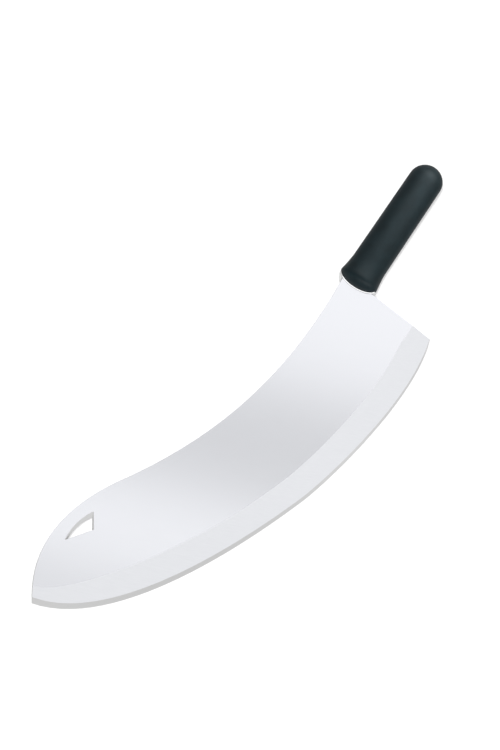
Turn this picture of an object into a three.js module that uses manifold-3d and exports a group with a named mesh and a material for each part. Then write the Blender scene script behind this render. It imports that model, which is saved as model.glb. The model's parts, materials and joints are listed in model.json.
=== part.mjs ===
// One-handled rocking mincing knife: a wide, curved steel plate with a ground edge and a hanging hole,
// its tang clamped between two moulded core halves, and a moulded grip over the core.
// Millimetres, +Z up. The knife lies flat: +X runs along the handle to its butt, +Y towards the spine,
// -Y towards the cutting edge. The sketch origin is on the handle axis at the lip of the grip.
import * as THREE from 'three';
import { mergeVertices } from 'three/addons/utils/BufferGeometryUtils.js';
import Module from 'manifold-3d';

// Clearance between pieces that touch, all round.
const FIT = 0.3;

// Blade plate.
const PLATE = 4;
const EDGE_LAND = 0.3;
const SHOULDER_REACH = 3.9;

// Blade outline: where each knot lies forward of the lip and beside the handle axis, the direction of
// travel through it in degrees, and how far the curve holds that direction behind and ahead of it. The
// waist of the spine is set back from the tip, so that the broad end around the hole keeps its form.
const NECK_RISE = 12.5;
const NECK_FLARE = 1.2;
const NECK_FLARE_LENGTH = 15;
const NECK_HEADING = 183.5;
const NECK_AHEAD = 77.8;
const TIP_REACH = 406.2;
const TIP_RISE = 80;
const TIP_SPINE_HEADING = 218;
const TIP_SPINE_BEHIND = 58;
const TIP_EDGE_HEADING = 284.5;
const TIP_EDGE_AHEAD = 80.2;
const WAIST_SETBACK = 135;
const WAIST_RISE = 75.6;
const WAIST_HEADING = 148;
const WAIST_BEHIND = 108.8;
const WAIST_AHEAD = 44;
const BELLY_REACH = 200;
const BELLY_DROP = 68.2;
const BELLY_HEADING = 340.5;
const BELLY_BEHIND = 55;
const BELLY_AHEAD = 31.2;
const HEEL_REACH = 11.4;
const HEEL_DROP = 83.6;
const HEEL_HEADING = 380;
const HEEL_BEHIND = 55.2;

// Wide primary grind: widest in the fore part behind the tip, narrower where it runs out at the tip and
// the heel. The lengths are along the edge. The honed edge lies below it and runs out at the heel.
const GRIND_WIDTH = 24.8;
const GRIND_TIP_WIDTH = 15.5;
const GRIND_FORE_WIDTH = 26.8;
const GRIND_HEEL_WIDTH = 20.7;
const GRIND_TIP_RUNOUT = 103;
const GRIND_FORE_END = 136;
const GRIND_FORE_RUNOUT = 75;
const GRIND_OVERRUN = 0.05;
const HEEL_RUNOUT = 26;
const HONE_ANGLE = 10;
const HONE_TIP_WIDTH = 5.3;
const HONE_HEEL_WIDTH = 1.1;
const HONE_HEEL_LOSS = 0.8;

// Hanging hole near the tip: its corners at the faces, back from the tip and beside it, the bulge of its
// curved bearing side, and how far that side and the corners draw in from both faces to a narrow land.
const HOLE_NOSE = [62.3, 7.5];
const HOLE_TOP = [97.6, 0.5];
const HOLE_FOOT = [84.2, -8.9];
const HOLE_BULGE = 3;
const HOLE_CORNER = 0.8;
const HOLE_NOSE_DRAW = 2.2;
const HOLE_FOOT_DRAW = 1.8;
const HOLE_TOP_DRAW = [5.2, 2];
const HOLE_LAND_BULGE = 2.4;
const HOLE_LAND = 1;

// Tang inside the handle.
const TANG_STEP = 0.3;
const TANG_END_CLEAR = 6;

// Moulded grip: oval, with a flared lip, a domed front and a round butt.
const GRIP_LENGTH = 127;
const LIP_DIAMETER = 38;
const DOME_DEPTH = 8.3;
const FLARE_LENGTH = 19;
const FLARE_HOLD = 12;
const GRIP_FRONT_DIAMETER = 33.8;
const GRIP_BACK_DIAMETER = 32.4;
const BUTT_DEPTH = 16;
const GRIP_WALL = 4;
const GRIP_FLATNESS = 0.9;

// Core halves that clamp the tang, with rings that key them into the grip and pegs through the tang.
const CORE_SETBACK = 5;
const CORE_CHEEK = 3;
const RING_COUNT = 5;
const RING_HEIGHT = 1.2;
const RING_WIDTH = 6;
const PEG_RADIUS = 2.5;
const PEG_INSET = 16;
const PEG_DEPTH = 4;

// Thin steel collar that closes the joint where the blade enters the grip. Its two ends are drawn out into
// flat ears: one beside the neck, one behind the heel line.
const COLLAR_THICKNESS = 1.2;
const COLLAR_RIM = 1.3;
const COLLAR_END_INSET = 0.6;
const NECK_EAR_REACH = 12.6;
const NECK_EAR_SHOULDER = 7.4;
const HEEL_EAR_DROP = 20.4;
const HEEL_EAR_REACH = 3.4;

// Smoothness of the faceted curves.
const OUTLINE_STEPS = 28;
const GRIND_STEPS = 80;
const GRIP_STEPS = 36;
const CORE_STEPS = 24;
const PROFILE_STEPS = 6;
const PEG_SIDES = 20;

const LIP_RADIUS = LIP_DIAMETER / 2;
const GRIP_FRONT_RADIUS = GRIP_FRONT_DIAMETER / 2;
const GRIP_BACK_RADIUS = GRIP_BACK_DIAMETER / 2;
const RING_RADIUS = GRIP_BACK_RADIUS - GRIP_WALL;
const CORE_RADIUS = RING_RADIUS - RING_HEIGHT;
const CORE_END = GRIP_LENGTH - BUTT_DEPTH;
const TANG_HALF_WIDTH = CORE_RADIUS - CORE_CHEEK;
const TANG_THICKNESS = PLATE - 2 * TANG_STEP;
const TANG_END = CORE_END - TANG_END_CLEAR;
const PEG_PLACES = [CORE_SETBACK + PEG_INSET, TANG_END - PEG_INSET];

const wasm = await Module();
wasm.setup();

// A closed geometry as a solid: shared corners merged, collapsed triangles dropped, faces turned outward.
function solid(geometry) {
  const bare = geometry.clone();
  bare.deleteAttribute('normal');
  bare.deleteAttribute('uv');
  const merged = mergeVertices(bare, 1e-4);
  const place = merged.getAttribute('position');
  const index = merged.getIndex().array;
  const corner = (i) => new THREE.Vector3().fromBufferAttribute(place, i);
  const triangles = [];
  let volume = 0;
  for (let i = 0; i < index.length; i += 3) {
    const [a, b, c] = [index[i], index[i + 1], index[i + 2]];
    if (a === b || b === c || c === a) continue;
    triangles.push([a, b, c]);
    volume += corner(a).dot(corner(b).cross(corner(c)));
  }
  const outward = volume < 0 ? triangles.map(([a, b, c]) => [a, c, b]) : triangles;
  return new wasm.Manifold(new wasm.Mesh({
    numProp: 3,
    vertProperties: new Float32Array(place.array),
    triVerts: new Uint32Array(outward.flat()),
  }));
}

// A named mesh of a finished solid.
function piece(name, body, color, roughness, metalness) {
  const data = body.getMesh();
  const geometry = new THREE.BufferGeometry();
  geometry.setAttribute('position', new THREE.BufferAttribute(new Float32Array(data.vertProperties), 3));
  geometry.setIndex(new THREE.BufferAttribute(new Uint32Array(data.triVerts), 1));
  const flat = geometry.toNonIndexed();
  flat.computeVertexNormals();
  const mesh = new THREE.Mesh(flat, new THREE.MeshStandardMaterial({ color, roughness, metalness }));
  mesh.name = name;
  return mesh;
}

// A solid through rings of points with equal counts; outline is a ring's flat shape, for the end caps.
function loft(rings, outline) {
  const count = outline.length;
  const index = [];
  for (let r = 0; r + 1 < rings.length; r += 1) {
    for (let i = 0; i < count; i += 1) {
      const j = (i + 1) % count;
      const [a, b, c, d] = [r * count + i, r * count + j, (r + 1) * count + j, (r + 1) * count + i];
      index.push(a, b, c, a, c, d);
    }
  }
  const last = (rings.length - 1) * count;
  for (const [a, b, c] of THREE.ShapeUtils.triangulateShape(outline, [])) {
    index.push(c, b, a, last + a, last + b, last + c);
  }
  const geometry = new THREE.BufferGeometry().setFromPoints(rings.flat());
  geometry.setIndex(index);
  return solid(geometry);
}

// A flat shape given a thickness, half above and half below the blade's middle plane.
function slab(shape, thickness) {
  const options = { depth: thickness, bevelEnabled: false, curveSegments: OUTLINE_STEPS };
  return solid(new THREE.ExtrudeGeometry(shape, options).translate(0, 0, -thickness / 2));
}

// A box between two corners.
function block(low, high) {
  const size = high.clone().sub(low);
  const middle = low.clone().add(high).multiplyScalar(0.5);
  return solid(new THREE.BoxGeometry(size.x, size.y, size.z).translate(middle.x, middle.y, middle.z));
}

// A profile of radius against station turned about the handle axis and flattened to the grip's oval.
function turned(profile, steps) {
  const geometry = new THREE.LatheGeometry(profile, steps);
  return solid(geometry.rotateZ(-Math.PI / 2).scale(1, 1, GRIP_FLATNESS));
}

// A point a given distance from another in a direction in degrees.
function along(point, degrees, distance) {
  const angle = THREE.MathUtils.degToRad(degrees);
  return new THREE.Vector2(point.x + distance * Math.cos(angle), point.y + distance * Math.sin(angle));
}

// A curve from one knot to the next.
function reach(from, to) {
  const leave = along(from.at, from.heading, from.ahead);
  const arrive = along(to.at, to.heading, -to.behind);
  return new THREE.CubicBezierCurve(from.at, leave, arrive, to.at);
}

const tip = new THREE.Vector2(-TIP_REACH, TIP_RISE);
const heel = new THREE.Vector2(-HEEL_REACH, -HEEL_DROP);

// The straight heel line runs from the heel corner past the shoulder on the handle axis.
function heelLine(y) {
  return -SHOULDER_REACH + (SHOULDER_REACH - HEEL_REACH) * (-y / HEEL_DROP);
}

const neckCorner = new THREE.Vector2(heelLine(NECK_RISE + NECK_FLARE), NECK_RISE + NECK_FLARE);
const neckStart = new THREE.Vector2(neckCorner.x - NECK_FLARE_LENGTH, NECK_RISE);

const neckKnot = { at: neckStart, heading: NECK_HEADING, ahead: NECK_AHEAD };
const waistKnot = {
  at: new THREE.Vector2(WAIST_SETBACK - TIP_REACH, WAIST_RISE),
  heading: WAIST_HEADING,
  behind: WAIST_BEHIND,
  ahead: WAIST_AHEAD,
};
const tipSpineKnot = { at: tip, heading: TIP_SPINE_HEADING, behind: TIP_SPINE_BEHIND };
const tipEdgeKnot = { at: tip, heading: TIP_EDGE_HEADING, ahead: TIP_EDGE_AHEAD };
const bellyKnot = {
  at: new THREE.Vector2(-BELLY_REACH, -BELLY_DROP),
  heading: BELLY_HEADING,
  behind: BELLY_BEHIND,
  ahead: BELLY_AHEAD,
};
const heelKnot = { at: heel, heading: HEEL_HEADING, behind: HEEL_BEHIND };

const edge = new THREE.CurvePath();
edge.add(reach(tipEdgeKnot, bellyKnot));
edge.add(reach(bellyKnot, heelKnot));

// The plate's outline: neck flare, spine, tip, cutting edge and heel.
function plateShape() {
  const flareTurn = along(neckStart, NECK_HEADING, -NECK_FLARE_LENGTH / 2);
  const shape = new THREE.Shape();
  shape.moveTo(neckCorner.x, neckCorner.y);
  shape.quadraticCurveTo(flareTurn.x, flareTurn.y, neckStart.x, neckStart.y);
  const curves = [reach(neckKnot, waistKnot), reach(waistKnot, tipSpineKnot), ...edge.curves];
  for (const { v1, v2, v3 } of curves) {
    shape.bezierCurveTo(v1.x, v1.y, v2.x, v2.y, v3.x, v3.y);
  }
  shape.closePath();
  return shape;
}

// Share of the way through the runout at the heel: 0 before it, 1 at the heel corner, more past it.
function heelShare(distance, total) {
  return Math.max(1 - (total - distance) / HEEL_RUNOUT, 0);
}

// Widths of the grind and the hone at a distance along the edge from the tip. Past both ends of the edge
// the grind goes on narrowing as it does there, and the hone keeps its width.
function grindWidth(distance, total) {
  const growth = Math.sin(Math.min(distance / GRIND_TIP_RUNOUT, 1) * Math.PI / 2);
  const loss = THREE.MathUtils.smoothstep(distance, GRIND_FORE_END, GRIND_FORE_END + GRIND_FORE_RUNOUT);
  const share = heelShare(distance, total);
  return GRIND_TIP_WIDTH
    + (GRIND_FORE_WIDTH - GRIND_TIP_WIDTH) * growth
    - (GRIND_FORE_WIDTH - GRIND_WIDTH) * loss
    - (GRIND_WIDTH - GRIND_HEEL_WIDTH) * (share < 1 ? share ** 2 : 2 * share - 1);
}

function honeWidth(distance, total) {
  const within = THREE.MathUtils.clamp(distance, 0, total);
  return THREE.MathUtils.lerp(HONE_TIP_WIDTH, HONE_HEEL_WIDTH, within / total)
    - HONE_HEEL_LOSS * heelShare(within, total) ** 2;
}

// What the grinding takes off the upper (side 1) or lower (side -1) face along the whole edge. Each ring
// is the waste above the ground surface, square to the edge, and both ends run on past the plate. The
// ground surface stops just above the face, so that the line where it runs out stays smooth.
function grindWaste(side) {
  const total = edge.getLength();
  const halfLand = EDGE_LAND / 2;
  const outside = -PLATE;
  const rings = [];
  let outline = [];
  const ring = (point, inward, distance) => {
    const hone = honeWidth(distance, total);
    const grind = grindWidth(distance, total);
    const honeHeight = halfLand + hone * Math.tan(THREE.MathUtils.degToRad(HONE_ANGLE));
    const slope = (PLATE / 2 - honeHeight) / (grind - hone);
    const top = grind + GRIND_OVERRUN;
    const crest = honeHeight + slope * (top - hone);
    outline = [
      new THREE.Vector2(outside, halfLand),
      new THREE.Vector2(0, halfLand),
      new THREE.Vector2(hone, honeHeight),
      new THREE.Vector2(top, crest),
      new THREE.Vector2(top, crest + PLATE),
      new THREE.Vector2(outside, crest + PLATE),
    ];
    rings.push(outline.map(({ x, y }) => new THREE.Vector3(
      point.x + inward.x * x,
      point.y + inward.y * x,
      side * y,
    )));
  };
  for (let i = 0; i <= GRIND_STEPS; i += 1) {
    const u = i / GRIND_STEPS;
    const point = edge.getPointAt(u);
    const heading = edge.getTangentAt(u);
    const inward = new THREE.Vector2(-heading.y, heading.x);
    const past = heading.clone().multiplyScalar(GRIND_WIDTH);
    if (i === 0) ring(point.clone().sub(past), inward, -GRIND_WIDTH);
    ring(point, inward, u * total);
    if (i === GRIND_STEPS) ring(point.clone().add(past), inward, total + GRIND_WIDTH);
  }
  return loft(rings, outline);
}

// The hole's outline at a share of the way from a face (0) to the land (1): the nose and foot corners
// draw in along the side between them, and the top corner towards the tip and the edge.
function holeOutline(share) {
  const [nose, top, foot] = [HOLE_NOSE, HOLE_TOP, HOLE_FOOT].map(([back, rise]) => (
    new THREE.Vector2(tip.x + back, tip.y + rise)));
  const towards = (from, to, distance) => from.clone().add(to.clone().sub(from).setLength(distance));
  const noseIn = nose.clone().lerp(towards(nose, foot, HOLE_NOSE_DRAW), share);
  const footIn = foot.clone().lerp(towards(foot, nose, HOLE_FOOT_DRAW), share);
  const topIn = top.clone().addScaledVector(new THREE.Vector2(...HOLE_TOP_DRAW), -share);
  const chord = topIn.clone().sub(noseIn);
  const outward = new THREE.Vector2(-chord.y, chord.x).normalize();
  const rise = THREE.MathUtils.lerp(HOLE_BULGE, HOLE_LAND_BULGE, share);
  const bulge = noseIn.clone().lerp(topIn, 0.5).addScaledVector(outward, 2 * rise);
  const shape = new THREE.Shape();
  const corner = (at, from, to) => {
    const arrive = towards(at, from, HOLE_CORNER);
    const leave = towards(at, to, HOLE_CORNER);
    shape.lineTo(arrive.x, arrive.y);
    shape.quadraticCurveTo(at.x, at.y, leave.x, leave.y);
  };
  const begin = towards(noseIn, footIn, HOLE_CORNER);
  const beforeNose = towards(noseIn, bulge, HOLE_CORNER);
  shape.moveTo(begin.x, begin.y);
  corner(footIn, noseIn, topIn);
  corner(topIn, footIn, bulge);
  shape.quadraticCurveTo(bulge.x, bulge.y, beforeNose.x, beforeNose.y);
  shape.quadraticCurveTo(noseIn.x, noseIn.y, begin.x, begin.y);
  return shape.getPoints(PROFILE_STEPS).slice(1);
}

// What the hole takes out: wide at both faces, narrow at the land in the middle.
function holeWaste() {
  const face = PLATE / 2;
  const land = HOLE_LAND / 2;
  const overrun = land;
  const outer = -overrun / (face - land);
  const levels = [[-face - overrun, outer], [-land, 1], [land, 1], [face + overrun, outer]];
  const ring = ([z, share]) => holeOutline(share).map(({ x, y }) => new THREE.Vector3(x, y, z));
  return loft(levels.map(ring), holeOutline(outer));
}

// The tang's outline, grown by a clearance: square at the shoulder, round at its end.
function tangShape(grow) {
  const half = TANG_HALF_WIDTH + grow;
  const end = TANG_END + grow;
  const start = -SHOULDER_REACH - GRIND_WIDTH / 2;
  const shape = new THREE.Shape();
  shape.moveTo(start, half);
  shape.lineTo(start, -half);
  shape.lineTo(end - half, -half);
  shape.absarc(end - half, 0, half, -Math.PI / 2, Math.PI / 2, false);
  shape.closePath();
  return shape;
}

function tangRoom() {
  return slab(tangShape(FIT), TANG_THICKNESS + 2 * FIT);
}

// A round bar square to the blade at a station along the tang.
function bar(station, radius, low, high) {
  const geometry = new THREE.CylinderGeometry(radius, radius, high - low, PEG_SIDES);
  return solid(geometry.rotateX(Math.PI / 2).translate(station, 0, (low + high) / 2));
}

function makeBlade() {
  let body = slab(plateShape(), PLATE)
    .subtract(grindWaste(1))
    .subtract(grindWaste(-1))
    .subtract(holeWaste())
    .add(slab(tangShape(0), TANG_THICKNESS));
  for (const station of PEG_PLACES) {
    body = body.subtract(bar(station, PEG_RADIUS + FIT, -PLATE, PLATE));
  }
  return piece('blade', body, 0xdedfe4, 0.3, 1);
}

// Room for the end of the plate where it enters the dome: the shoulder line moved back by the
// clearance, and the neck's flared corner grown by it.
function neckRoom() {
  const high = neckCorner.y + FIT;
  const low = -2 * LIP_RADIUS;
  const front = -2 * SHOULDER_REACH - DOME_DEPTH - COLLAR_THICKNESS;
  const shape = new THREE.Shape();
  shape.moveTo(heelLine(high) + FIT, high);
  shape.lineTo(front, high);
  shape.lineTo(front, low);
  shape.lineTo(heelLine(low) + FIT, low);
  shape.closePath();
  return slab(shape, PLATE + 2 * FIT);
}

// Half of the core's profile, with its rings, grown by a clearance.
function coreProfile(grow) {
  const start = CORE_SETBACK - grow;
  const end = CORE_END + grow;
  const pitch = (CORE_END - CORE_SETBACK) / RING_COUNT;
  const low = CORE_RADIUS + grow;
  const high = RING_RADIUS + grow;
  const half = RING_WIDTH / 2 + grow;
  const points = [new THREE.Vector2(0, start), new THREE.Vector2(low, start)];
  for (let i = 0; i < RING_COUNT; i += 1) {
    const middle = CORE_SETBACK + pitch * (i + 0.5);
    points.push(
      new THREE.Vector2(low, middle - half),
      new THREE.Vector2(high, middle - half + RING_HEIGHT),
      new THREE.Vector2(high, middle + half - RING_HEIGHT),
      new THREE.Vector2(low, middle + half),
    );
  }
  points.push(new THREE.Vector2(low, end), new THREE.Vector2(0, end));
  return points;
}

// One half of the core, above (side 1) or below (side -1) the blade's middle plane.
function coreHalf(side) {
  const wide = 2 * RING_RADIUS;
  const low = side > 0 ? FIT / 2 : -wide;
  const high = side > 0 ? wide : -FIT / 2;
  const half = block(new THREE.Vector3(0, -wide, low), new THREE.Vector3(GRIP_LENGTH, wide, high));
  return turned(coreProfile(0), CORE_STEPS).intersect(half).subtract(tangRoom());
}

function makeCoreUpper() {
  let body = coreHalf(1);
  const root = TANG_THICKNESS / 2 + PEG_DEPTH / 2;
  const end = -TANG_THICKNESS / 2 - FIT - PEG_DEPTH;
  for (const station of PEG_PLACES) body = body.add(bar(station, PEG_RADIUS, end, root));
  return piece('core_upper', body, 0x4a4d50, 0.5, 0);
}

function makeCoreLower() {
  let body = coreHalf(-1);
  const end = -TANG_THICKNESS / 2 - 2 * FIT - PEG_DEPTH;
  for (const station of PEG_PLACES) body = body.subtract(bar(station, PEG_RADIUS + FIT, end, PLATE));
  return piece('core_lower', body, 0x4a4d50, 0.5, 0);
}

// The grip's outer profile: domed front, lip, flare, slow taper and round butt.
function gripProfile() {
  const path = new THREE.Path();
  path.moveTo(0, -DOME_DEPTH);
  path.absellipse(0, 0, LIP_RADIUS, DOME_DEPTH, -Math.PI / 2, 0, false);
  path.quadraticCurveTo(GRIP_FRONT_RADIUS, FLARE_HOLD, GRIP_FRONT_RADIUS, FLARE_LENGTH);
  path.lineTo(GRIP_BACK_RADIUS, CORE_END);
  path.absellipse(0, CORE_END, GRIP_BACK_RADIUS, BUTT_DEPTH, 0, Math.PI / 2, false);
  return path.getPoints(PROFILE_STEPS);
}

function makeGrip() {
  const body = turned(gripProfile(), GRIP_STEPS)
    .subtract(turned(coreProfile(FIT), CORE_STEPS))
    .subtract(tangRoom())
    .subtract(neckRoom());
  return piece('grip', body, 0x31393c, 0.62, 0);
}

// The dome of the grip's front grown by a distance.
function domeGrown(grow) {
  const geometry = new THREE.SphereGeometry(1, GRIP_STEPS, GRIP_STEPS / 2);
  const wide = LIP_RADIUS + grow;
  return solid(geometry.scale(DOME_DEPTH + grow, wide, wide * GRIP_FLATNESS));
}

// The collar's ear beside the neck: from the collar's end it falls away forward to the neck's edge.
function neckEar() {
  const end = LIP_RADIUS - COLLAR_END_INSET;
  const shape = new THREE.Shape();
  shape.moveTo(-NECK_EAR_SHOULDER / 2, end);
  shape.lineTo(-NECK_EAR_SHOULDER / 2, NECK_RISE);
  shape.lineTo(-NECK_EAR_REACH, NECK_RISE);
  shape.quadraticCurveTo(-NECK_EAR_SHOULDER, end, -NECK_EAR_SHOULDER / 2, end);
  return shape;
}

// The collar's ear behind the heel line: a small corner past the lip.
function heelEar() {
  const inner = -LIP_RADIUS + 2 * COLLAR_THICKNESS;
  const shape = new THREE.Shape();
  shape.moveTo(-HEEL_EAR_REACH, -HEEL_EAR_DROP);
  shape.lineTo(-HEEL_EAR_REACH, inner);
  shape.lineTo(-2 * HEEL_EAR_REACH, inner);
  shape.lineTo(-2 * HEEL_EAR_REACH, -HEEL_EAR_DROP);
  shape.closePath();
  return shape;
}

function makeCollar() {
  const wide = LIP_RADIUS - COLLAR_END_INSET;
  const tall = PLATE / 2 + COLLAR_RIM;
  const front = DOME_DEPTH + COLLAR_THICKNESS + 2 * FIT;
  const band = block(new THREE.Vector3(-front, -wide, -tall), new THREE.Vector3(0, wide, tall));
  const besideNeck = slab(plateShape(), PLATE + 2 * FIT).translate(0, FIT, 0);
  const body = domeGrown(FIT + COLLAR_THICKNESS)
    .intersect(band)
    .add(slab(heelEar(), PLATE))
    .subtract(neckRoom())
    .add(slab(neckEar(), PLATE).subtract(besideNeck))
    .subtract(domeGrown(FIT));
  return piece('neck_collar', body, 0xe6e7ea, 0.2, 1);
}

const sketch = new THREE.Group();
sketch.add(makeBlade(), makeCollar(), makeCoreUpper(), makeCoreLower(), makeGrip());

// The part's origin is under the middle of its box, on the surface that it lies on.
const box = new THREE.Box3().setFromObject(sketch);
const middle = box.getCenter(new THREE.Vector3());
sketch.position.set(-middle.x, -middle.y, -box.min.z);

const knife = new THREE.Group();
knife.add(sketch);
knife.updateMatrixWorld(true);

export default knife;
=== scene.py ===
"""Dresses a one-handled rocking mincing knife: steel blade and collar, moulded grip, white studio."""

import json
import math

import bpy
from bpy.props import FloatProperty, FloatVectorProperty, IntProperty, PointerProperty
from bpy.types import Operator, Panel, PropertyGroup
from mathutils import Matrix, Vector


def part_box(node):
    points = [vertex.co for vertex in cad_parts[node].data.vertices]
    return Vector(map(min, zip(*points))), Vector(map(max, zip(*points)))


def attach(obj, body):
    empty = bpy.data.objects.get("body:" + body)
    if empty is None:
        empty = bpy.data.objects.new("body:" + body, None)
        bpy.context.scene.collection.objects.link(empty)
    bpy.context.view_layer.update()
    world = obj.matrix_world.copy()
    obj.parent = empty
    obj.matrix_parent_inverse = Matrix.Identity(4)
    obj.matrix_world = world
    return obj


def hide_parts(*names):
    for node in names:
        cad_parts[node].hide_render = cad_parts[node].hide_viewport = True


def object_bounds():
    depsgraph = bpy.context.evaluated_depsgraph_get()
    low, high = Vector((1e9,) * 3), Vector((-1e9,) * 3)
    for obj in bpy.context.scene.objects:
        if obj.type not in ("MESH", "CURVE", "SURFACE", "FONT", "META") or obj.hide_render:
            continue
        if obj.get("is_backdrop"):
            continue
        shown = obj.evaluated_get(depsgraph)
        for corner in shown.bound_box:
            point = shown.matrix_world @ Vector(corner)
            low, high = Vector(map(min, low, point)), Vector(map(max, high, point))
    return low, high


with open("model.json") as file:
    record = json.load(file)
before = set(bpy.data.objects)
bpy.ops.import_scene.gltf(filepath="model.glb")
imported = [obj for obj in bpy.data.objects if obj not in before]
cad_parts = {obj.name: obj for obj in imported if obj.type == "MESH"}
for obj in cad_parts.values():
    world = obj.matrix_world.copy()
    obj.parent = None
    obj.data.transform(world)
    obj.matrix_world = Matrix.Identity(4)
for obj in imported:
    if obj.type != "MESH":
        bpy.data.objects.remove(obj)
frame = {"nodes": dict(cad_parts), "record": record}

bl_info = {
    "name": "Mincing knife",
    "version": (1, 0, 0),
    "blender": (4, 5, 0),
    "location": "3D View > Sidebar > Knife",
    "description": "Dresses a one-handled rocking mincing knife and lights it in a white studio",
    "category": "Object",
}

MM = 0.001
BODY = "root"
CAD_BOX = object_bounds()
BLADE_LOW, BLADE_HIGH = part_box("blade")
GRIP_LOW, GRIP_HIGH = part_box("grip")

# The handle's axis lies in the blade's middle plane and runs along X.
PLANE_Z = (BLADE_LOW.z + BLADE_HIGH.z) / 2
AXIS_Y = (GRIP_LOW.y + GRIP_HIGH.y) / 2
PLATE = BLADE_HIGH.z - BLADE_LOW.z
GRIP_LENGTH = 127 * MM
LIP_X = GRIP_HIGH.x - GRIP_LENGTH
LIP_MIDDLE = Vector((LIP_X, AXIS_Y, PLANE_Z))
UPWARDS = Vector((0, 0, 1))

# Points closer than SAME_PLACE are merged, and points closer than ON_PLANE to a plane lie on it.
# Faces that turn less than FLUSH_ANGLE against each other become one.
SAME_PLACE = 0.002 * MM
ON_PLANE = 0.005 * MM
FLUSH_ANGLE = math.radians(0.01)


def linear(code):
    """The linear colour of an sRGB hex code."""
    parts = [int(code[i:i + 2], 16) / 255 for i in (1, 3, 5)]
    return [p / 12.92 if p <= 0.04045 else ((p + 0.055) / 1.055) ** 2.4 for p in parts]


# Settings


class BladeSettings(PropertyGroup):
    """Sizes and colours of the blade and its collar."""

    rounding: FloatProperty(
        name="Edge rounding", description="Rounding of the edges of the spine, neck and heel",
        default=0.25 * MM, unit="LENGTH")
    tip_rounding: FloatProperty(
        name="Tip rounding", description="Rounding of the plate's edges at the tip",
        default=1.3 * MM, unit="LENGTH")
    tip_run: FloatProperty(
        name="Tip run", description="From the tip to where the rounding is that of the spine",
        default=60 * MM, unit="LENGTH")
    hole_rounding: FloatProperty(
        name="Hole rounding", description="Rounding of the hanging hole's edges at the faces",
        default=0.25 * MM, unit="LENGTH")
    # The four blade steels are one alloy. Their colours are set lighter or darker zone by zone to the
    # brightness each zone shows under this light, which is painted light and shade; only their roughness and
    # lines are a real difference of finish.
    satin_colour: FloatVectorProperty(
        name="Satin colour", description="Reflection colour of the satined flat faces",
        default=linear("#cacbcf"), subtype="COLOR")
    ground_colour: FloatVectorProperty(
        name="Ground colour", description="Reflection colour of the wide grind",
        default=linear("#e0e1e4"), subtype="COLOR")
    honed_colour: FloatVectorProperty(
        name="Honed colour", description="Reflection colour of the honed edge",
        default=linear("#c4c4c4"), subtype="COLOR")
    cut_colour: FloatVectorProperty(
        name="Cut colour", description="Reflection colour of the cut walls of the hanging hole",
        default=linear("#d0d0d0"), subtype="COLOR")
    satin_line: FloatProperty(
        name="Satin line", description="Spacing of the satin lines along the blade",
        default=0.4 * MM, unit="LENGTH")
    grind_line: FloatProperty(
        name="Grinding line", description="Spacing of the grinding lines across the grind",
        default=0.5 * MM, unit="LENGTH")
    line_heading: FloatProperty(
        name="Line heading", description="Direction of the satin and grinding lines, from +X",
        default=math.radians(-67), subtype="ANGLE")
    collar_rounding: FloatProperty(
        name="Collar rounding", description="Rounding of the collar's edges",
        default=0.3 * MM, unit="LENGTH")
    # The collar's near-white colour is partly its polish and partly a painted highlight, which makes its rim
    # a white line.
    collar_colour: FloatVectorProperty(
        name="Collar colour", description="Reflection colour of the polished collar",
        default=linear("#f0f0f0"), subtype="COLOR")


class GripSettings(PropertyGroup):
    """Sizes and colours of the handle."""

    length: FloatProperty(
        name="Grip length", description="From the lip to the end of the butt",
        default=GRIP_LENGTH, unit="LENGTH")
    dome: FloatProperty(
        name="Dome depth", description="How far the front swells forward of the lip",
        default=8.3 * MM, unit="LENGTH")
    lip: FloatProperty(
        name="Lip diameter", description="Across the lip at the front",
        default=38 * MM, unit="LENGTH")
    flare: FloatProperty(
        name="Flare length", description="From the lip to where the flare ends",
        default=19 * MM, unit="LENGTH")
    flare_hold: FloatProperty(
        name="Flare hold", description="Where the flare's curve meets the line of the body",
        default=12 * MM, unit="LENGTH")
    front: FloatProperty(
        name="Front diameter", description="Across the body where the flare ends",
        default=33.8 * MM, unit="LENGTH")
    back: FloatProperty(
        name="Back diameter", description="Across the body where the butt begins",
        default=32.4 * MM, unit="LENGTH")
    butt: FloatProperty(
        name="Butt depth", description="Length of the round butt",
        default=16 * MM, unit="LENGTH")
    flatness: FloatProperty(
        name="Flatness", description="Thickness of the grip's oval against its width",
        default=0.9, subtype="FACTOR")
    sides: IntProperty(
        name="Sides", description="Steps round the grip", default=96)
    parting_width: FloatProperty(
        name="Parting line", description="Width of the mould's parting line along the grip's two sides",
        default=0.5 * MM, unit="LENGTH")
    parting_height: FloatProperty(
        name="Parting rise", description="How far the parting line stands proud",
        default=0.08 * MM, unit="LENGTH")
    colour: FloatVectorProperty(
        name="Grip colour", description="Colour of the moulded plastic",
        default=linear("#0d171a"), subtype="COLOR")
    grain: FloatProperty(
        name="Grain", description="Size of the mould's fine grain",
        default=0.7 * MM, unit="LENGTH")
    core_colour: FloatVectorProperty(
        name="Core colour", description="Colour of the core's plastic",
        default=linear("#4a4d50"), subtype="COLOR")


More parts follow.
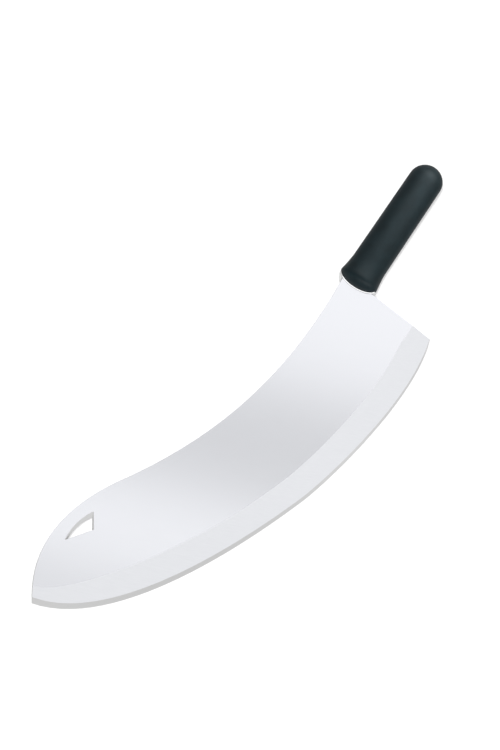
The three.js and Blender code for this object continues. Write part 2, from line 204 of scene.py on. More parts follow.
class StageSettings(PropertyGroup):
    """Camera, light and floor."""

    distance: FloatProperty(
        name="Camera distance", description="From the camera to the blade",
        default=2.0, unit="LENGTH")
    view_height: FloatProperty(
        name="View height", description="Height of the view at the blade",
        default=675 * MM, unit="LENGTH")
    tilt: FloatProperty(
        name="View tilt", description="Angle of the view off square to the blade",
        default=math.radians(12), subtype="ANGLE")
    turn: FloatProperty(
        name="View turn", description="Direction on the blade that is up in the view, from +X",
        default=math.radians(33.6), subtype="ANGLE")
    aim_forward: FloatProperty(
        name="Aim forward", description="Forward of the grip's lip to the middle of the view",
        default=128.5 * MM, unit="LENGTH")
    aim_side: FloatProperty(
        name="Aim aside", description="From the handle axis to the middle of the view, towards the spine",
        default=33.6 * MM, unit="LENGTH")
    floor_lean: FloatProperty(
        name="Floor lean", description="Tilt of the floor under the knife, which rests on lip and edge",
        default=math.radians(5.1), subtype="ANGLE")
    floor_heading: FloatProperty(
        name="Floor heading", description="Direction that the floor falls towards, from +X",
        default=math.radians(57.4), subtype="ANGLE")
    floor_glow: FloatProperty(
        name="Floor glow", description="The floor's white that the shadow leaves",
        default=0.55, subtype="FACTOR")
    floor_shade: FloatProperty(
        name="Floor shade", description="The floor's white that the shadow takes away",
        default=0.45, subtype="FACTOR")
    floor_bounce: FloatProperty(
        name="Floor bounce", description="Share of the light that the floor throws back at the knife",
        default=0.5, subtype="FACTOR")
    box_turn: FloatProperty(
        name="Box turn", description="Turn of the light boxes against the view, about the blade's normal",
        default=math.radians(-15.4), subtype="ANGLE")
    box_height: FloatProperty(
        name="Box height", description="From the blade up to the light boxes",
        default=1.0, unit="LENGTH")
    main_glow: FloatProperty(
        name="Main box", description="Brightness of the box over the neck, on top of the white room",
        default=0.44)
    strip_glow: FloatProperty(
        name="Strip box", description="Brightness of the narrow box over the blade's front part",
        default=0.48)
    fill_glow: FloatProperty(
        name="Fill box", description="Brightness of the box past the blade's tip", default=0.26)
    handle_glow: FloatProperty(
        name="Handle box", description="Brightness of the box past the butt that the handle's gloss shows",
        default=14.4)
    front_glow: FloatProperty(
        name="Front box", description="Brightness of the standing box that the handle's front and side show",
        default=5.0)
    front_heading: FloatProperty(
        name="Front heading", description="Where the standing box is, from +X",
        default=math.radians(-140), subtype="ANGLE")
    key_level: FloatProperty(
        name="Key light", description="Light from above on matte surfaces, as a share of full white",
        default=0.9)
    key_lean: FloatProperty(
        name="Key lean", description="Lean of the key light towards the blade's tip",
        default=math.radians(10), subtype="ANGLE")
    key_softness: FloatProperty(
        name="Key softness", description="Angle across which the key light is spread",
        default=math.radians(6), subtype="ANGLE")
    sky_top: FloatProperty(
        name="Sky overhead", description="Light from overhead on matte surfaces", default=0.35)
    sky_side: FloatProperty(
        name="Sky at the sides", description="Light from the sides on matte surfaces", default=0.2)


# Helpers


def add(tree, kind, inputs=None, **settings):
    """Adds a node with its settings; each input is given a value or the output that feeds it."""
    node = tree.nodes.new(kind)
    for name, value in settings.items():
        setattr(node, name, value)
    for key, value in (inputs or {}).items():
        if isinstance(value, bpy.types.NodeSocket):
            tree.links.new(value, node.inputs[key])
        else:
            node.inputs[key].default_value = value
    return node


def material_tree(name):
    """A new material and its empty node tree."""
    material = bpy.data.materials.new(name)
    material.use_nodes = True
    material.node_tree.nodes.clear()
    return material, material.node_tree


def rgba(colour):
    """A colour setting as a shader colour."""
    return (*colour, 1.0)


def deselect():
    """Leaves edit mode with nothing selected."""
    if bpy.context.object and bpy.context.object.mode != "OBJECT":
        bpy.ops.object.mode_set(mode="OBJECT")
    bpy.ops.object.select_all(action="DESELECT")


def make_active(piece):
    """Selects one object alone."""
    deselect()
    piece.select_set(True)
    bpy.context.view_layer.objects.active = piece


def copy_of(node, name):
    """A merged copy of a CAD node's mesh, as a new piece."""
    mesh = frame["nodes"][node].data.copy()
    mesh.materials.clear()
    mesh.name = name
    piece = bpy.data.objects.new(name, mesh)
    bpy.context.scene.collection.objects.link(piece)
    make_active(piece)
    bpy.ops.object.mode_set(mode="EDIT")
    bpy.ops.mesh.select_all(action="SELECT")
    bpy.ops.mesh.customdata_custom_splitnormals_clear()
    bpy.ops.mesh.remove_doubles(threshold=SAME_PLACE)
    bpy.ops.mesh.dissolve_limited(angle_limit=FLUSH_ANGLE)
    bpy.ops.object.mode_set(mode="OBJECT")
    return piece


def edges_between_faces(mesh):
    """Each edge that joins two faces, with its middle and the two faces."""
    faces = {}
    for face in mesh.polygons:
        for key in face.edge_keys:
            faces.setdefault(key, []).append(face)
    for edge in mesh.edges:
        beside = faces.get(edge.key, [])
        if len(beside) == 2:
            first, last = (mesh.vertices[v].co for v in edge.vertices)
            yield edge, (first + last) / 2, beside


def turn_between(beside):
    """Angle between two faces, in degrees."""
    return math.degrees(beside[0].normal.angle(beside[1].normal, 0))


def clear_selection(piece, kind):
    """Deselects a piece's whole mesh and sets what is selected next: VERT, EDGE or FACE."""
    make_active(piece)
    bpy.ops.object.mode_set(mode="EDIT")
    bpy.ops.mesh.select_mode(type=kind)
    bpy.ops.mesh.select_all(action="DESELECT")
    bpy.ops.object.mode_set(mode="OBJECT")


def select_vertices(piece, wanted):
    """Selects, in edit mode, the vertices for which wanted(place) holds."""
    clear_selection(piece, "VERT")
    for vertex in piece.data.vertices:
        vertex.select = wanted(vertex.co)
    bpy.ops.object.mode_set(mode="EDIT")


def select_edges(piece, wanted):
    """Selects, in edit mode, the edges for which wanted(middle, its two faces) holds."""
    clear_selection(piece, "EDGE")
    for edge, middle, beside in edges_between_faces(piece.data):
        edge.select = wanted(middle, beside)
    bpy.ops.object.mode_set(mode="EDIT")


def select_faces(piece, wanted):
    """Selects, in edit mode, the faces for which wanted(face) holds."""
    clear_selection(piece, "FACE")
    for face in piece.data.polygons:
        face.select = wanted(face)
    bpy.ops.object.mode_set(mode="EDIT")


def apply_modifier(piece, kind, **settings):
    """Adds a modifier with its settings and applies it."""
    make_active(piece)
    bpy.ops.object.modifier_add(type=kind)
    modifier = piece.modifiers[-1]
    for name, value in settings.items():
        setattr(modifier, name, value)
    bpy.ops.object.modifier_apply(modifier=modifier.name)


def finish_piece(piece, node):
    """Puts a finished piece on the knife in place of its CAD node."""
    deselect()
    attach(piece, BODY)
    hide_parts(node)


# Materials


def uneven(tree, size, low, high, detail=2.0, roughness=0.5, place=None):
    """Noise of a size, as its plain height and as a level that wanders between low and high."""
    if place is None:
        place = add(tree, "ShaderNodeTexCoord").outputs["Object"]
    height = add(tree, "ShaderNodeTexNoise", {
        "Vector": place, "Scale": 1 / size, "Detail": detail, "Roughness": roughness}).outputs["Fac"]
    # Nearly all of the noise lies between 0.3 and 0.7.
    level = add(tree, "ShaderNodeMapRange", {
        "Value": height, "From Min": 0.3, "From Max": 0.7, "To Min": low, "To Max": high})
    return height, level.outputs["Result"]


def fine_lines(tree, heading, spacing, stretch, low, high):
    """Noise drawn out into lines along a heading on the blade's plane."""
    place = add(tree, "ShaderNodeTexCoord").outputs["Object"]
    drawn = add(tree, "ShaderNodeMapping", {
        "Vector": place, "Rotation": (0, 0, heading), "Scale": (stretch * spacing, spacing, spacing)},
        vector_type="TEXTURE")
    return uneven(tree, 1.0, low, high, detail=3.0, roughness=0.6, place=drawn.outputs["Vector"])


def finish_material(material, tree, inputs):
    """Ends a material's nodes with its shader."""
    shader = add(tree, "ShaderNodeBsdfPrincipled", inputs)
    add(tree, "ShaderNodeOutputMaterial", {"Surface": shader.outputs["BSDF"]})
    return material


def satin_steel(settings):
    """Stainless sheet, finely satined: wide soft reflections, and lines that show only from close by."""
    material, tree = material_tree("satin_stainless_steel")
    # The real lines are some hundredths of a millimetre apart; these are coarser, so that they show.
    lines, roughness = fine_lines(
        tree, settings.line_heading, settings.satin_line, stretch=60, low=0.17, high=0.21)
    bump = add(tree, "ShaderNodeBump", {"Height": lines, "Strength": 0.02, "Distance": 0.02 * MM})
    return finish_material(material, tree, {
        "Base Color": rgba(settings.satin_colour), "Metallic": 1.0,
        "Roughness": roughness, "Normal": bump.outputs["Normal"]})


def ground_steel(settings):
    """The same steel off the grinding wheel, with fine lines across the edge; its pale grey, lighter than the
    flats, is painted light.
    """
    material, tree = material_tree("wheel_ground_steel")
    # Wheel lines of about a tenth of a millimetre, drawn coarser so that they show.
    lines, roughness = fine_lines(
        tree, settings.line_heading, settings.grind_line, stretch=40, low=0.6, high=0.68)
    bump = add(tree, "ShaderNodeBump", {"Height": lines, "Strength": 0.04, "Distance": 0.03 * MM})
    return finish_material(material, tree, {
        "Base Color": rgba(settings.ground_colour), "Metallic": 1.0,
        "Roughness": roughness, "Normal": bump.outputs["Normal"]})


def bare_steel(name, colour):
    """Steel as the stone leaves it at the edge, or the cutter in the hole, a little uneven; its colour is set
    to the brightness these parts show under this light, painted light and shade.
    """
    material, tree = material_tree(name)
    _, roughness = uneven(tree, size=8 * MM, low=0.28, high=0.34)
    return finish_material(material, tree, {
        "Base Color": rgba(colour), "Metallic": 1.0, "Roughness": roughness})


def polished_steel(settings):
    """Pressed stainless collar, polished, with a few softened press marks: near white, partly its polish and
    partly a painted highlight.
    """
    material, tree = material_tree("polished_stainless_steel")
    _, roughness = uneven(tree, size=3 * MM, low=0.1, high=0.16)
    return finish_material(material, tree, {
        "Base Color": rgba(settings.collar_colour), "Metallic": 1.0, "Roughness": roughness})


def grip_plastic(settings):
    """Moulded polypropylene, near black with a trace of blue-green: its fine grain spreads the highlights."""
    material, tree = material_tree("moulded_polypropylene")
    grain, grain_roughness = uneven(tree, settings.grain, low=-0.03, high=0.03, detail=3.0, roughness=0.6)
    _, worn_roughness = uneven(tree, size=25 * MM, low=0.46, high=0.54)
    _, shade = uneven(tree, size=9 * MM, low=0.8, high=1.2, detail=3.0, roughness=0.55)
    colour = add(tree, "ShaderNodeVectorMath", {0: tuple(settings.colour), "Scale": shade}, operation="SCALE")
    roughness = add(tree, "ShaderNodeMath", {0: grain_roughness, 1: worn_roughness})
    bump = add(tree, "ShaderNodeBump", {"Height": grain, "Strength": 0.25, "Distance": 0.05 * MM})
    return finish_material(material, tree, {
        "Base Color": colour.outputs["Vector"], "Roughness": roughness.outputs["Value"],
        "Specular IOR Level": 0.077, "Normal": bump.outputs["Normal"]})


def core_plastic(settings):
    """Plain polypropylene as it leaves the mould: grey, with faint flow marks."""
    material, tree = material_tree("plain_polypropylene")
    _, roughness = uneven(tree, size=10 * MM, low=0.45, high=0.55)
    return finish_material(material, tree, {"Base Color": rgba(settings.core_colour), "Roughness": roughness})


# Blade

# Faces by their lean off the blade's plane, in degrees: up to these they are flat, ground or honed, then come
# roundings, and above the last one walls.
FLAT_LEAN = 1.0
GROUND_LEAN = 9.4
HONED_LEAN = 12.0
WALL_LEAN = 60
# Faces that turn more than this against each other, in degrees, meet in a crease.
CREASE_TURN = 30
# The cutting edge's narrow land stays within this height off the middle plane.
LAND_HEIGHT = PLATE / 8
# Edges within this height off the middle plane aren't rounded.
SHARP_HEIGHT = PLATE / 10
# The hole with its slanting walls lies within these margins of its free opening, along X and along Y.
HOLE_MARGINS = (17 * MM, 10 * MM)
HOLE_LOW, HOLE_HIGH = (Vector(corner) for corner in frame["record"]["physics"]["openings"][0]["box_m"])
# Square to the line through the hole where the halves of a flat side meet.
HALVING = Vector((0.943, -0.334, 0))
# The blade's materials, in the order of its slots.
SATIN, GROUND, HONED, CUT = range(4)


def lean(face):
    """Angle of a face off the blade's plane, in degrees."""
    return math.degrees(math.acos(min(1.0, abs(face.normal.z))))


def in_hole(point):
    """Whether a point lies in or around the hanging hole, away from the plate's outline."""
    return all(
        low - margin < place < high + margin
        for low, place, high, margin in zip(HOLE_LOW, point, HOLE_HIGH, HOLE_MARGINS))


def is_flat(mesh, face):
    """Whether a face lies in one of the plate's two flat sides."""
    heights = [mesh.vertices[v].co.z for v in face.vertices]
    return min(heights) > BLADE_HIGH.z - ON_PLANE or max(heights) < BLADE_LOW.z + ON_PLANE


def is_ground(face):
    """Whether a face leans as the wide grind does."""
    return FLAT_LEAN < lean(face) < GROUND_LEAN


def merge_flat_sides(piece):
    """Makes each flat side of the plate two large faces, which meet along a line through the hole."""
    mesh = piece.data
    hole = (HOLE_LOW + HOLE_HIGH) / 2

    def on_flat_side(face):
        return is_flat(mesh, face)

    def off_the_line(middle, beside):
        return all(map(on_flat_side, beside)) and abs((middle - hole).dot(HALVING)) > ON_PLANE

    select_faces(piece, on_flat_side)
    bpy.ops.mesh.dissolve_limited(angle_limit=math.radians(5))
    select_faces(piece, on_flat_side)
    bpy.ops.mesh.bisect(plane_co=hole, plane_no=HALVING)
    select_edges(piece, off_the_line)
    bpy.ops.mesh.dissolve_edges(use_verts=False)
    bpy.ops.object.mode_set(mode="OBJECT")


def on_outline(middle, beside):
    """Whether an edge joins one of the plate's sides to the wall of its outline, off the cutting edge."""
    side, wall = sorted(beside, key=lean)
    off_the_cut = abs(middle.z - PLANE_Z) > SHARP_HEIGHT
    return lean(side) < HONED_LEAN and lean(wall) > WALL_LEAN and off_the_cut and middle.x < GRIP_LOW.x


def round_plate(piece, settings):
    """Rounds the hole's edges and the plate's, widest near the tip and never past a third of the wall."""
    mesh = piece.data
    tip = min((vertex.co.copy() for vertex in mesh.vertices), key=lambda place: place.x)

    def at_end_of_grind(middle, beside):
        return on_outline(middle, beside) and not any(is_flat(mesh, face) for face in beside)

    # The wall loses its height down the grind's two ends, so the rounding narrows there in short steps.
    select_edges(piece, at_end_of_grind)
    bpy.ops.mesh.subdivide(number_cuts=5)
    bpy.ops.object.mode_set(mode="OBJECT")
    weights = mesh.attributes.new("bevel_weight_edge", "FLOAT", "EDGE")
    for edge, middle, beside in edges_between_faces(mesh):
        side, wall = sorted(beside, key=lean)
        width = 0
        if in_hole(middle):
            if is_flat(mesh, side) and lean(wall) > HONED_LEAN:
                width = settings.hole_rounding
        elif on_outline(middle, beside):
            nearness = max(0, 1 - (middle - tip).length / settings.tip_run)
            width = settings.rounding + nearness * (settings.tip_rounding - settings.rounding)
            wall_height = 2 * abs(middle.z - PLANE_Z)
            width = min(width, wall_height / 3)
        weights.data[edge.index].value = width / settings.tip_rounding
    apply_modifier(
        piece, "BEVEL", limit_method="WEIGHT", width=settings.tip_rounding, segments=3,
        use_clamp_overlap=False, loop_slide=False)
    mesh.attributes.remove(mesh.attributes["bevel_weight_edge"])
    return tip


class KNIFE_OT_blade(Operator):
    """Finish the steel blade: rounded spine and hole, satined faces, ground and honed edge"""

    bl_idname = "mincing_knife.blade"
    bl_label = "Blade"

    def execute(self, context):
        settings = context.scene.knife_blade
        piece = copy_of("blade", "ground_blade")
        merge_flat_sides(piece)
        tip = round_plate(piece, settings)

        def crease(middle, beside):
            flat = [is_flat(piece.data, face) for face in beside]
            worked = max(lean(face) for face in beside) < HONED_LEAN
            return flat[0] != flat[1] or turn_between(beside) > (FLAT_LEAN if worked else CREASE_TURN)

        select_edges(piece, crease)
        bpy.ops.mesh.mark_sharp()
        bpy.ops.object.mode_set(mode="OBJECT")
        bpy.ops.object.shade_smooth()
        apply_modifier(piece, "WEIGHTED_NORMAL", keep_sharp=True)

        # These steels differ in colour only to paint each zone's brightness under this light: the grind
        # lighter, the honed edge and the rounded tip darker, as painted light and shade.
        piece.data.materials.append(satin_steel(settings))
        piece.data.materials.append(ground_steel(settings))
        piece.data.materials.append(bare_steel("honed_steel_painted_shade", settings.honed_colour))
        piece.data.materials.append(bare_steel("cut_steel", settings.cut_colour))
        for face in piece.data.polygons:
            angle = lean(face)
            at_tip = (face.center - tip).length < settings.tip_run
            land = max(abs(piece.data.vertices[v].co.z - PLANE_Z) for v in face.vertices) < LAND_HEIGHT
            if in_hole(face.center) and angle > HONED_LEAN:
                face.material_index = CUT
            elif is_ground(face):
                face.material_index = GROUND
            # The rounded walls at the tip take the darker honed steel as painted shade.
            elif GROUND_LEAN < angle < HONED_LEAN or (angle > HONED_LEAN and at_tip) or land:
                face.material_index = HONED
            else:
                face.material_index = SATIN
        finish_piece(piece, "blade")
        return {"FINISHED"}


# Collar

NECK_HALF_WIDTH = 13.7 * MM
# The collar's inner faces lie between these heights over the blade's sides and come down nearly onto them.
SEAT_LOW, SEAT_HIGH = 0.1 * MM, 0.5 * MM
SEAT_DROP = 0.29 * MM
EAR_HALF_THICKNESS = PLATE / 2 + SEAT_LOW
# Faces that turn more than this against each other, in degrees, meet in a corner that is rounded.
CORNER_TURN = 50
# The collar's materials, in the order of its slots.
POLISHED, PAINTED_SHADE = range(2)


def seat_collar(piece):
    """Brings the collar's inner faces down onto the flat sides of the blade."""
    for side in (-1, 1):
        select_vertices(piece, lambda place: SEAT_LOW < (place.z - PLANE_Z) * side - PLATE / 2 < SEAT_HIGH)
        bpy.ops.transform.translate(value=(0, 0, -side * SEAT_DROP))
    bpy.ops.object.mode_set(mode="OBJECT")


class KNIFE_OT_collar(Operator):
    """Finish the steel collar that closes the joint of blade and grip"""

    bl_idname = "mincing_knife.collar"
    bl_label = "Collar"

    def execute(self, context):
        settings = context.scene.knife_blade
        piece = copy_of("neck_collar", "steel_collar")
        seat_collar(piece)
        select_edges(piece, lambda middle, beside: turn_between(beside) > CORNER_TURN)
        bpy.ops.mesh.bevel(offset=settings.collar_rounding, segments=2, affect="EDGES", clamp_overlap=True)
        bpy.ops.object.mode_set(mode="OBJECT")
        bpy.ops.object.shade_smooth_by_angle(angle=math.radians(35))
        piece.data.materials.append(polished_steel(settings))
        piece.data.materials.append(bpy.data.materials["honed_steel_painted_shade"])
        # The two flat ears are as thick as the plate and take the darker honed steel, a painted shade that
        # greys them; the one beside the neck takes it all over.
        for face in piece.data.polygons:
            on_ear = abs(face.center.z - PLANE_Z) < EAR_HALF_THICKNESS and lean(face) < FLAT_LEAN
            beside_neck = face.center.y - AXIS_Y > NECK_HALF_WIDTH
            face.material_index = PAINTED_SHADE if on_ear or beside_neck else POLISHED
        finish_piece(piece, "neck_collar")
        return {"FINISHED"}


# Grip

# The room for the core and its rings, as stations from the lip and radii. Rings are widest at the foot.
CORE_FRONT, CORE_BACK, CORE_RADIUS = 4.7 * MM, 111.3 * MM, 11.3 * MM
RINGS, FIRST_RING, RING_PITCH = 5, 15.6 * MM, 21.2 * MM
RING_RADIUS, RING_HALF_TOP, RING_HALF_FOOT = 12.5 * MM, 3.3 * MM, 4.5 * MM
# Corners of the rooms for the tang and for the blade's neck, in millimetres from the lip's middle.
TANG_ROOM = ((-6, -8.3, -2), (105.3, 8.3, 2))
NECK_ROOM = ((-20, -38, -2.3), (0, 14, 2.3))
# The neck's room ends this far in front of the lip, and its end slants by HEEL_SLANT across the handle.
NECK_END = 3.6 * MM
HEEL_SLANT = 0.0897
# The parting line runs out this far from the handle's axis, on the dome and on the butt.
PARTING_END = 5 * MM


def grip_profile(settings):
    """Stations and radii along the grip, from the tip of the dome to the end of the butt."""
    lip, front, back = settings.lip / 2, settings.front / 2, settings.back / 2
    body_end = settings.length - settings.butt
    quarter = math.pi / 2
    steps = 14
    points = []
    for i in range(steps):
        turn = quarter * i / steps
        points.append((-settings.dome * math.cos(turn), lip * math.sin(turn)))
    for i in range(steps + 1):
        t = i / steps
        station = 2 * t * (1 - t) * settings.flare_hold + t * t * settings.flare
        radius = (1 - t) ** 2 * lip + (1 - (1 - t) ** 2) * front
        points.append((station, radius))
    for i in range(1, steps):
        t = i / steps
        points.append((settings.flare + t * (body_end - settings.flare), front + t * (back - front)))
    for i in range(steps + 1):
        turn = quarter * i / steps
        points.append((body_end + settings.butt * math.sin(turn), back * math.cos(turn)))
    return points


def core_room_profile():
    """Stations and radii of the room for the core, with the rooms for its rings."""
    points = [(CORE_FRONT, 0), (CORE_FRONT, CORE_RADIUS)]
    for i in range(RINGS):
        middle = FIRST_RING + i * RING_PITCH
        points.append((middle - RING_HALF_FOOT, CORE_RADIUS))
        points.append((middle - RING_HALF_TOP, RING_RADIUS))
        points.append((middle + RING_HALF_TOP, RING_RADIUS))
        points.append((middle + RING_HALF_FOOT, CORE_RADIUS))
    points += [(CORE_BACK, CORE_RADIUS), (CORE_BACK, 0)]
    return points


def spun(name, points, sides, flatness):
    """A closed shape spun from stations and radii about the handle axis."""
    deselect()
    first = Vector((LIP_X + points[0][0], AXIS_Y + points[0][1], PLANE_Z))
    bpy.ops.mesh.primitive_plane_add(size=MM, location=first)
    piece = bpy.context.object
    piece.name = name
    piece.data.name = name
    bpy.ops.object.transform_apply(location=True, rotation=False, scale=False)
    bpy.ops.object.mode_set(mode="EDIT")
    bpy.ops.mesh.select_mode(type="VERT")
    bpy.ops.mesh.select_all(action="SELECT")
    bpy.ops.mesh.merge(type="CENTER")
    for (x0, r0), (x1, r1) in zip(points, points[1:]):
        bpy.ops.mesh.extrude_region_move(TRANSFORM_OT_translate={"value": (x1 - x0, r1 - r0, 0)})
    bpy.ops.mesh.select_all(action="SELECT")
    bpy.ops.mesh.spin(steps=sides, angle=2 * math.pi, center=LIP_MIDDLE, axis=(1, 0, 0))
    bpy.ops.mesh.select_all(action="SELECT")
    bpy.ops.mesh.remove_doubles(threshold=SAME_PLACE)
    bpy.ops.mesh.normals_make_consistent(inside=False)
    bpy.ops.transform.resize(value=(1, 1, flatness), center_override=LIP_MIDDLE)
    bpy.ops.object.mode_set(mode="OBJECT")
    return piece


def block(name, low, high):
    """A block between two corners, given in millimetres from the lip's middle."""
    deselect()
    low, high = Vector(low) * MM, Vector(high) * MM
    bpy.ops.mesh.primitive_cube_add(size=1, location=LIP_MIDDLE + (low + high) / 2, scale=high - low)
    piece = bpy.context.object
    piece.name = name
    bpy.ops.object.transform_apply(location=True, rotation=False, scale=True)
    return piece


def neck_room():
    """The room in the domed front for the blade's neck, whose back slants with the heel."""
    piece = block("neck_room", *NECK_ROOM)
    end = (LIP_X - NECK_END, AXIS_Y, PLANE_Z)
    bpy.ops.object.mode_set(mode="EDIT")
    bpy.ops.mesh.select_all(action="SELECT")
    bpy.ops.mesh.bisect(plane_co=end, plane_no=(1, -HEEL_SLANT, 0), use_fill=True, clear_outer=True)
    bpy.ops.object.mode_set(mode="OBJECT")
    return piece


def cut_away(piece, tool):
    """Cuts one shape out of another and removes the cutting shape."""
    apply_modifier(piece, "BOOLEAN", operation="DIFFERENCE", solver="EXACT", object=tool)
    bpy.data.objects.remove(tool)


def raise_parting_line(piece, settings):
    """Widens the grip's edges in the middle plane into the fine line that the mould's halves leave."""
    def in_plane(place):
        return abs(place.z - PLANE_Z) < ON_PLANE

    select_edges(piece, lambda middle, beside: in_plane(middle))
    bpy.ops.mesh.bevel(offset=settings.parting_width / 2, segments=2, affect="EDGES", clamp_overlap=True)
    for side in (-1, 1):
        select_vertices(piece, lambda place: in_plane(place) and (place.y - AXIS_Y) * side > PARTING_END)
        bpy.ops.transform.translate(value=(0, side * settings.parting_height, 0))
    bpy.ops.object.mode_set(mode="OBJECT")


class KNIFE_OT_grip(Operator):
    """Model the moulded grip with its flared lip, domed front, round butt and the rooms inside"""

    bl_idname = "mincing_knife.grip"
    bl_label = "Grip"

    def execute(self, context):
        settings = context.scene.knife_grip
        piece = spun("moulded_grip", grip_profile(settings), settings.sides, settings.flatness)
        raise_parting_line(piece, settings)
        cut_away(piece, spun("core_room", core_room_profile(), settings.sides // 2, settings.flatness))
        cut_away(piece, block("tang_room", *TANG_ROOM))
        cut_away(piece, neck_room())
        make_active(piece)
        bpy.ops.object.shade_smooth_by_angle(angle=math.radians(40))
        piece.data.materials.append(grip_plastic(settings))
        finish_piece(piece, "grip")
        return {"FINISHED"}


class KNIFE_OT_core(Operator):
    """Give the two core halves inside the grip their plain plastic"""

    bl_idname = "mincing_knife.core"
    bl_label = "Core"

    def execute(self, context):
        material = core_plastic(context.scene.knife_grip)
        for name in ("core_upper", "core_lower"):
            mesh = frame["nodes"][name].data
            mesh.materials.clear()
            mesh.materials.append(material)
        return {"FINISHED"}


# Stage

# Light boxes over the blade, in metres along their own sides: place from the middle of the view, then size.
MAIN_BOX = (-0.125, 0.6, 1.15, 0.8)
STRIP_BOX = (0.0, -0.04, 1.2, 0.14)
FILL_BOX = (-0.5, -0.32, 0.9, 0.3)
HANDLE_BOX = (0.12, 0.64, 0.55, 0.55)
HANDLE_BOX_DROP = 0.7
# The standing box, in metres: distance from the handle, height over it, then its own width and height.
FRONT_BOX = (1.0, 0.35, 1.8, 0.5)
# An area lamp of this many watts to the square metre is as bright as white.
WATTS_OF_WHITE = 4
# The camera's sensor, in millimetres.
SENSOR = 36
FLOOR_SIZE = 12
FLOOR_GAP = 0.05 * MM


def view_axes(settings):
    """The view's right and up directions on the blade's plane."""
    up = Vector((math.cos(settings.turn), math.sin(settings.turn), 0))
    return Vector((up.y, -up.x, 0)), up


def aim_point(settings):
    """The point of the blade's middle plane in the middle of the view."""
    return Vector((LIP_X - settings.aim_forward, AXIS_Y + settings.aim_side, PLANE_Z))


def place_camera(settings):
    """A long lens, tilted a little off square to the blade."""
    right, up = view_axes(settings)
    back = UPWARDS * math.cos(settings.tilt) - up * math.sin(settings.tilt)
    top = up * math.cos(settings.tilt) + UPWARDS * math.sin(settings.tilt)
    turn = Matrix((right, top, back)).transposed()
    place = aim_point(settings) + back * settings.distance
    bpy.ops.object.camera_add(location=place, rotation=turn.to_euler())
    camera = bpy.context.object
    camera.data.sensor_width = SENSOR
    camera.data.lens = SENSOR * settings.distance / settings.view_height
    camera.data.clip_end = 100
    bpy.context.scene.camera = camera


def add_softbox(name, place, turn, width, depth, glow):
    """A soft light box of an even brightness that shines along its own -Z and isn't seen itself."""
    bpy.ops.object.light_add(type="AREA", location=place, rotation=turn.to_euler())
    lamp = bpy.context.object
    lamp.name = name
    lamp.data.shape = "RECTANGLE"
    lamp.data.size = width
    lamp.data.size_y = depth
    lamp.data.energy = glow * WATTS_OF_WHITE * width * depth
    lamp.visible_camera = False
    return lamp


def hang_softbox(settings, name, turn, along, across, width, depth, glow, drop=0.0):
    """A light box facing down above the blade, turned against the view and placed along its own two sides."""
    right, up = view_axes(settings)
    cos, sin = math.cos(turn), math.sin(turn)
    side = right * cos + up * sin
    front = up * cos - right * sin
    place = aim_point(settings) + side * along + front * across + UPWARDS * (settings.box_height - drop)
    return add_softbox(name, place, Matrix((side, front, UPWARDS)).transposed(), width, depth, glow)


def stand_softbox(name, heading, distance, rise, width, height, glow):
    """A light box standing beside the handle and facing it, at a heading from +X."""
    aside = Vector((math.cos(heading), math.sin(heading), 0)) * distance
    towards = -aside - UPWARDS * rise
    return add_softbox(name, LIP_MIDDLE - towards, towards.to_track_quat("-Z", "Y"), width, height, glow)


def hang_key_light(settings):
    """A soft light from above for the floor's and the grip's matte surfaces; metal doesn't mirror it."""
    bpy.ops.object.light_add(type="SUN", rotation=(0, -settings.key_lean, 0))
    lamp = bpy.context.object
    lamp.name = "key_light"
    lamp.data.angle = settings.key_softness
    lamp.data.energy = math.pi * settings.key_level
    lamp.visible_glossy = False


def shown_directly(tree):
    """Whether a ray comes from the eye, or from the eye by way of metal or glass."""
    path = add(tree, "ShaderNodeLightPath").outputs
    shown = path["Is Camera Ray"]
    for kind in ("Is Glossy Ray", "Is Transmission Ray"):
        shown = add(tree, "ShaderNodeMath", {0: shown, 1: path[kind]}, operation="MAXIMUM").outputs["Value"]
    return shown


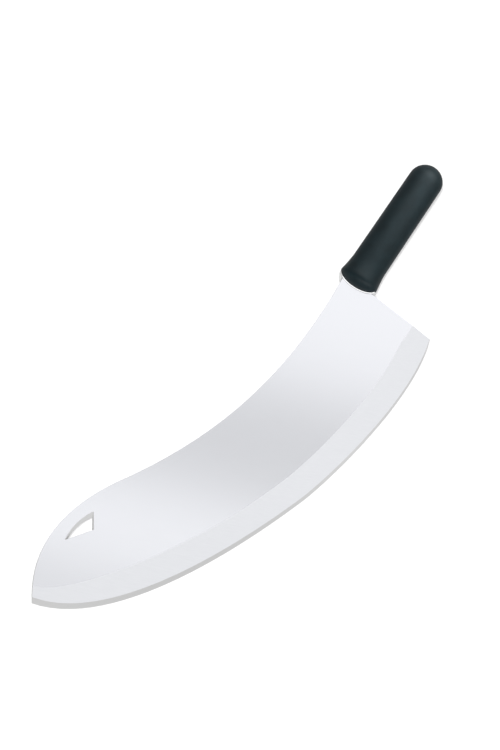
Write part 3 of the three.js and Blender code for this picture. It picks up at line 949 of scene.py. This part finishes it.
def lay_floor(settings):
    """A white floor under the lip and the cutting edge, with the knife's faint shadow."""
    slope, heading = settings.floor_lean, settings.floor_heading
    normal = Vector((
        math.sin(slope) * math.cos(heading), math.sin(slope) * math.sin(heading), math.cos(slope)))
    place = Vector((LIP_X, AXIS_Y, GRIP_LOW.z)) - normal * FLOOR_GAP
    turn = UPWARDS.rotation_difference(normal)
    bpy.ops.mesh.primitive_plane_add(size=FLOOR_SIZE, location=place, rotation=turn.to_euler())
    floor = bpy.context.object
    floor.name = "floor"
    bpy.ops.object.transform_apply(location=True, rotation=True, scale=False)
    material, tree = material_tree("white_paper")
    paper = add(tree, "ShaderNodeBsdfDiffuse", {"Color": rgba([settings.floor_bounce] * 3)})
    shade = add(tree, "ShaderNodeBsdfDiffuse", {"Color": rgba([settings.floor_shade] * 3)})
    glow = add(tree, "ShaderNodeEmission", {"Color": rgba([1.0] * 3), "Strength": settings.floor_glow})
    white = add(tree, "ShaderNodeAddShader", {0: shade.outputs["BSDF"], 1: glow.outputs["Emission"]})
    mix = add(tree, "ShaderNodeMixShader", {
        "Fac": shown_directly(tree), 1: paper.outputs["BSDF"], 2: white.outputs["Shader"]})
    add(tree, "ShaderNodeOutputMaterial", {"Surface": mix.outputs["Shader"]})
    floor.data.materials.append(material)
    floor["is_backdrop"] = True


def light_world(settings):
    """White all round for the eye and for reflections, and a soft sky for matte surfaces."""
    world = bpy.data.worlds.new("white_studio")
    bpy.context.scene.world = world
    world.use_nodes = True
    tree = world.node_tree
    tree.nodes.clear()
    direction = add(tree, "ShaderNodeTexCoord").outputs["Generated"]
    height = add(tree, "ShaderNodeSeparateXYZ", {"Vector": direction}).outputs["Z"]
    level = add(tree, "ShaderNodeMapRange", {
        "Value": height, "From Min": 0.0, "From Max": 1.0,
        "To Min": settings.sky_side, "To Max": settings.sky_top})
    sky = add(tree, "ShaderNodeBackground", {"Color": rgba([1.0] * 3), "Strength": level.outputs["Result"]})
    white = add(tree, "ShaderNodeBackground", {"Color": rgba([1.0] * 3), "Strength": 1.0})
    mix = add(tree, "ShaderNodeMixShader", {
        "Fac": shown_directly(tree), 1: sky.outputs["Background"], 2: white.outputs["Background"]})
    add(tree, "ShaderNodeOutputWorld", {"Surface": mix.outputs["Shader"]})


class KNIFE_OT_stage(Operator):
    """Set the white floor, the soft light and the camera"""

    bl_idname = "mincing_knife.stage"
    bl_label = "Stage"

    def execute(self, context):
        settings = context.scene.knife_stage
        deselect()
        lay_floor(settings)
        turn = settings.box_turn
        hang_softbox(settings, "main_softbox", turn, *MAIN_BOX, settings.main_glow)
        hang_softbox(settings, "strip_softbox", turn, *STRIP_BOX, settings.strip_glow)
        hang_softbox(settings, "fill_softbox", turn, *FILL_BOX, settings.fill_glow)
        # The handle's own box hangs low past the butt, so that the gloss grows towards the butt.
        gloss = hang_softbox(
            settings, "handle_softbox", -settings.turn, *HANDLE_BOX, settings.handle_glow, HANDLE_BOX_DROP)
        gloss.visible_diffuse = False
        front = stand_softbox("front_softbox", settings.front_heading, *FRONT_BOX, settings.front_glow)
        # The blade would mirror these two, so they light the grip alone.
        handle_only = bpy.data.collections.new("handle_only")
        handle_only.objects.link(bpy.data.objects["moulded_grip"])
        for lamp in (gloss, front):
            lamp.light_linking.receiver_collection = handle_only
        hang_key_light(settings)
        light_world(settings)
        place_camera(settings)
        context.scene.view_settings.view_transform = "Standard"
        deselect()
        return {"FINISHED"}


class KNIFE_PT_panel(Panel):
    """Lists the knife's pieces and settings"""

    bl_label = "Mincing knife"
    bl_idname = "KNIFE_PT_panel"
    bl_space_type = "VIEW_3D"
    bl_region_type = "UI"
    bl_category = "Knife"

    def draw(self, context):
        for operator in OPERATORS:
            self.layout.operator(operator.bl_idname)
        for group in SETTINGS:
            settings = getattr(context.scene, group)
            for name in settings.bl_rna.properties.keys():
                if name not in ("rna_type", "name"):
                    self.layout.prop(settings, name)


OPERATORS = (KNIFE_OT_blade, KNIFE_OT_collar, KNIFE_OT_core, KNIFE_OT_grip, KNIFE_OT_stage)
SETTINGS = {"knife_blade": BladeSettings, "knife_grip": GripSettings, "knife_stage": StageSettings}


def register():
    for cls in (*SETTINGS.values(), *OPERATORS, KNIFE_PT_panel):
        bpy.utils.register_class(cls)
    for name, group in SETTINGS.items():
        setattr(bpy.types.Scene, name, PointerProperty(type=group))


def unregister():
    for name in SETTINGS:
        delattr(bpy.types.Scene, name)
    for cls in (KNIFE_PT_panel, *reversed(OPERATORS), *reversed(SETTINGS.values())):
        bpy.utils.unregister_class(cls)


def main():
    register()
    bpy.ops.mincing_knife.blade()
    bpy.ops.mincing_knife.collar()
    bpy.ops.mincing_knife.core()
    bpy.ops.mincing_knife.grip()
    bpy.ops.mincing_knife.stage()
    boxes = {"cad": CAD_BOX, "visual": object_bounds()}
    {name: [list(corner) for corner in box] for name, box in boxes.items()}


if __name__ == "__main__":
    main()
